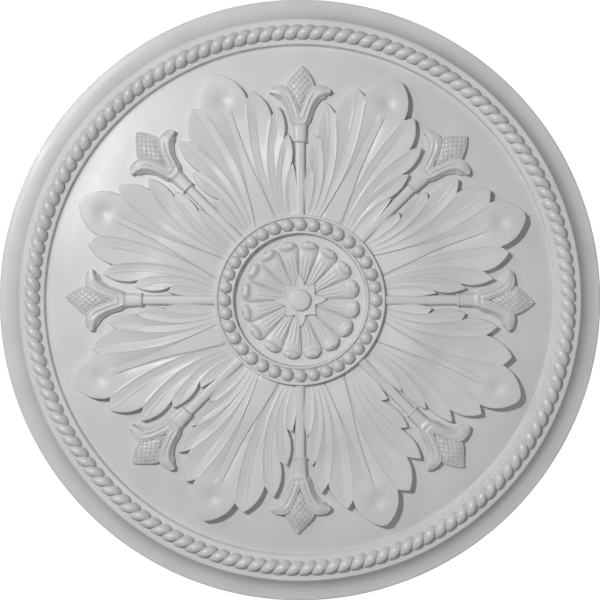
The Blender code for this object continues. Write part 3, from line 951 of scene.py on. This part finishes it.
star = {
    "angle": -2.0, "height": 0.0044, "bevelWidth": 0.0007, "bevelHeight": 0.0006, "peak": 0.0010,
    "outline": [(0.0, 0.0290), (0.0018, 0.0266), (0.0036, 0.0232), (0.0047, 0.0196),
                (0.0051, 0.0166), (0.0095, 0.0161), (0.0163, 0.0166)],      # an eighth of it
    "edge": [(0.0002, 0.0003)], "smoothAngle": 30,
}


def buildStar():
    s = star
    eighth = [Vector(p) for p in s["outline"]]
    quarter = eighth + [Vector((p.y, p.x)) for p in reversed(eighth[:-1])]
    outline = []
    for i in range(4):
        turn = Matrix.Rotation(-math.pi / 2 * i, 2)
        outline += [turn @ p for p in quarter[:-1]]
    deselectAll()
    bpy.ops.mesh.primitive_circle_add(vertices=len(outline), radius=1.0, fill_type="NGON")
    piece = bpy.context.active_object
    piece.name = "rosette_star"
    for v, p in zip(piece.data.vertices, outline):
        v.co = Vector((p.x, p.y, floorHeight + s["height"]))
    bpy.ops.object.mode_set(mode="EDIT")
    bpy.ops.mesh.select_all(action="SELECT")
    bpy.ops.mesh.inset(thickness=s["bevelWidth"], depth=s["bevelHeight"])
    bpy.ops.mesh.poke(offset=s["peak"], center_mode="BOUNDS")
    bpy.ops.mesh.select_all(action="SELECT")
    bpy.ops.mesh.normals_make_consistent(inside=False)
    bpy.ops.object.mode_set(mode="OBJECT")
    dropEdge(piece, s["edge"], underFloor)
    piece.rotation_euler = (0, 0, -math.radians(s["angle"]))
    makeActive(piece)
    bpy.ops.object.transform_apply(location=True, rotation=True, scale=True)
    finishPiece(piece, carvedPaint, s["smoothAngle"])


button = {
    "radius": 0.0121, "height": 0.0076, "dome": 0.0007, "rounding": 0.0026, "topRounding": 0.003,
    "arcSteps": 6, "steps": 72, "smoothAngle": 50,
}


def buildButton():
    b = button
    top = floorHeight + b["height"]
    corners = [
        (0.0, underFloor, 0),
        (b["radius"], underFloor, 0),
        (b["radius"], top - b["dome"], b["rounding"]),
        (b["radius"] / 2, top, b["topRounding"]),
        (0.0, top, 0),
    ]
    profile = [(p.x, p.y) for p in roundedPath(corners, b["arcSteps"])]
    piece = turnedPiece("rosette_button", profile, b["steps"])
    finishPiece(piece, carvedPaint, b["smoothAngle"])


buildLobes()
buildStar()
buildButton()
print("rosette set")


# studio: pale floor below, a small distant key lamp on the upper left, weak lamps at the left,
# in front and at the side, and one behind for views of the back

studio = {
    "floorDepth": -3.4, "floorSize": 60.0, "floorColour": (0.5, 0.5, 0.5, 1.0),
    "floorRoughness": 0.9, "floorSeen": 0.90, "worldFill": 0.075, "worldSeen": 1.05,
    "cameraDistance": 2.2, "framed": 0.6605, "sensor": 36.0, "farthest": 50.0,
    "target": (0.0, 0.0, -0.02),
    "lamps": {
        "key": {"angle": 305.0, "tilt": 30.0, "distance": 6.0, "size": 0.40, "power": 216.0},
        "left": {"angle": 298.0, "tilt": 58.0, "distance": 6.0, "size": 0.8, "power": 34.0},
        "front": {"angle": 305.0, "tilt": 3.0, "distance": 3.0, "size": 0.8, "power": 7.5},
        "side": {"angle": 130.0, "tilt": 64.0, "distance": 3.0, "size": 1.2, "power": 9.5},
    },
    "back": {"spot": (-1.6, -1.2, 2.4), "size": 1.5, "power": 105.0},
}


def faceSpot(clockAngle, tilt, distance):
    # clockwise from the top of the face, and tilted away from its axis
    turn = math.radians(clockAngle)
    lean = math.radians(tilt)
    aside = math.sin(lean)
    return Vector((math.sin(turn) * aside, -math.cos(turn) * aside, -math.cos(lean))) * distance


def addLamp(name, spot, target, size, power):
    data = bpy.data.lights.new(name, "AREA")
    data.shape = "DISK"
    data.size = size
    data.energy = power
    lamp = bpy.data.objects.new(name, data)
    bpy.context.scene.collection.objects.link(lamp)
    lamp.location = spot
    lamp.rotation_euler = (target - spot).to_track_quat("-Z", "Y").to_euler()


def showCamera(tree, shader, brightness, output):
    # the camera sees plain white of this brightness, the rest of the light sees the shader
    kind = "ShaderNodeBackground" if output.type == "OUTPUT_WORLD" else "ShaderNodeEmission"
    seen = tree.nodes.new(kind)
    seen.inputs["Color"].default_value = (1, 1, 1, 1)
    seen.inputs["Strength"].default_value = brightness
    path = tree.nodes.new("ShaderNodeLightPath")
    either = tree.nodes.new("ShaderNodeMixShader")
    tree.links.new(path.outputs["Is Camera Ray"], either.inputs[0])
    tree.links.new(shader.outputs[0], either.inputs[1])
    tree.links.new(seen.outputs[0], either.inputs[2])
    tree.links.new(either.outputs[0], output.inputs["Surface"])


def buildStudio():
    s = studio
    deselectAll()
    bpy.ops.mesh.primitive_plane_add(size=s["floorSize"], location=(0, 0, s["floorDepth"]))
    floor = bpy.context.active_object
    floor.name = "studio_floor"
    pale = bpy.data.materials.new("pale floor")
    pale.use_nodes = True
    nodes = pale.node_tree.nodes
    shader = nodes["Principled BSDF"]
    shader.inputs["Base Color"].default_value = s["floorColour"]
    shader.inputs["Roughness"].default_value = s["floorRoughness"]
    showCamera(pale.node_tree, shader, s["floorSeen"], nodes["Material Output"])
    floor.data.materials.append(pale)
    floor.visible_shadow = False        # lamps may stand beyond it
    target = Vector(s["target"])
    for name, lamp in s["lamps"].items():
        spot = faceSpot(lamp["angle"], lamp["tilt"], lamp["distance"])
        addLamp(name + "_light", spot, target, lamp["size"], lamp["power"])
    back = s["back"]
    addLamp("back_light", Vector(back["spot"]), target, back["size"], back["power"])
    world = bpy.data.worlds.new("studio")
    bpy.context.scene.world = world
    world.use_nodes = True
    light = world.node_tree.nodes["Background"]
    light.inputs["Color"].default_value = (1, 1, 1, 1)
    light.inputs["Strength"].default_value = s["worldFill"]
    showCamera(world.node_tree, light, s["worldSeen"], world.node_tree.nodes["World Output"])
    data = bpy.data.cameras.new("camera")
    data.sensor_width = s["sensor"]
    data.lens = s["sensor"] * s["cameraDistance"] / s["framed"]
    data.clip_end = s["farthest"]
    camera = bpy.data.objects.new("camera", data)
    bpy.context.scene.collection.objects.link(camera)
    camera.location = (0, 0, -s["cameraDistance"])
    camera.rotation_euler = (math.pi, 0, 0)
    bpy.context.scene.camera = camera
    bpy.context.scene.view_settings.view_transform = "Standard"


buildStudio()
print("studio lit")
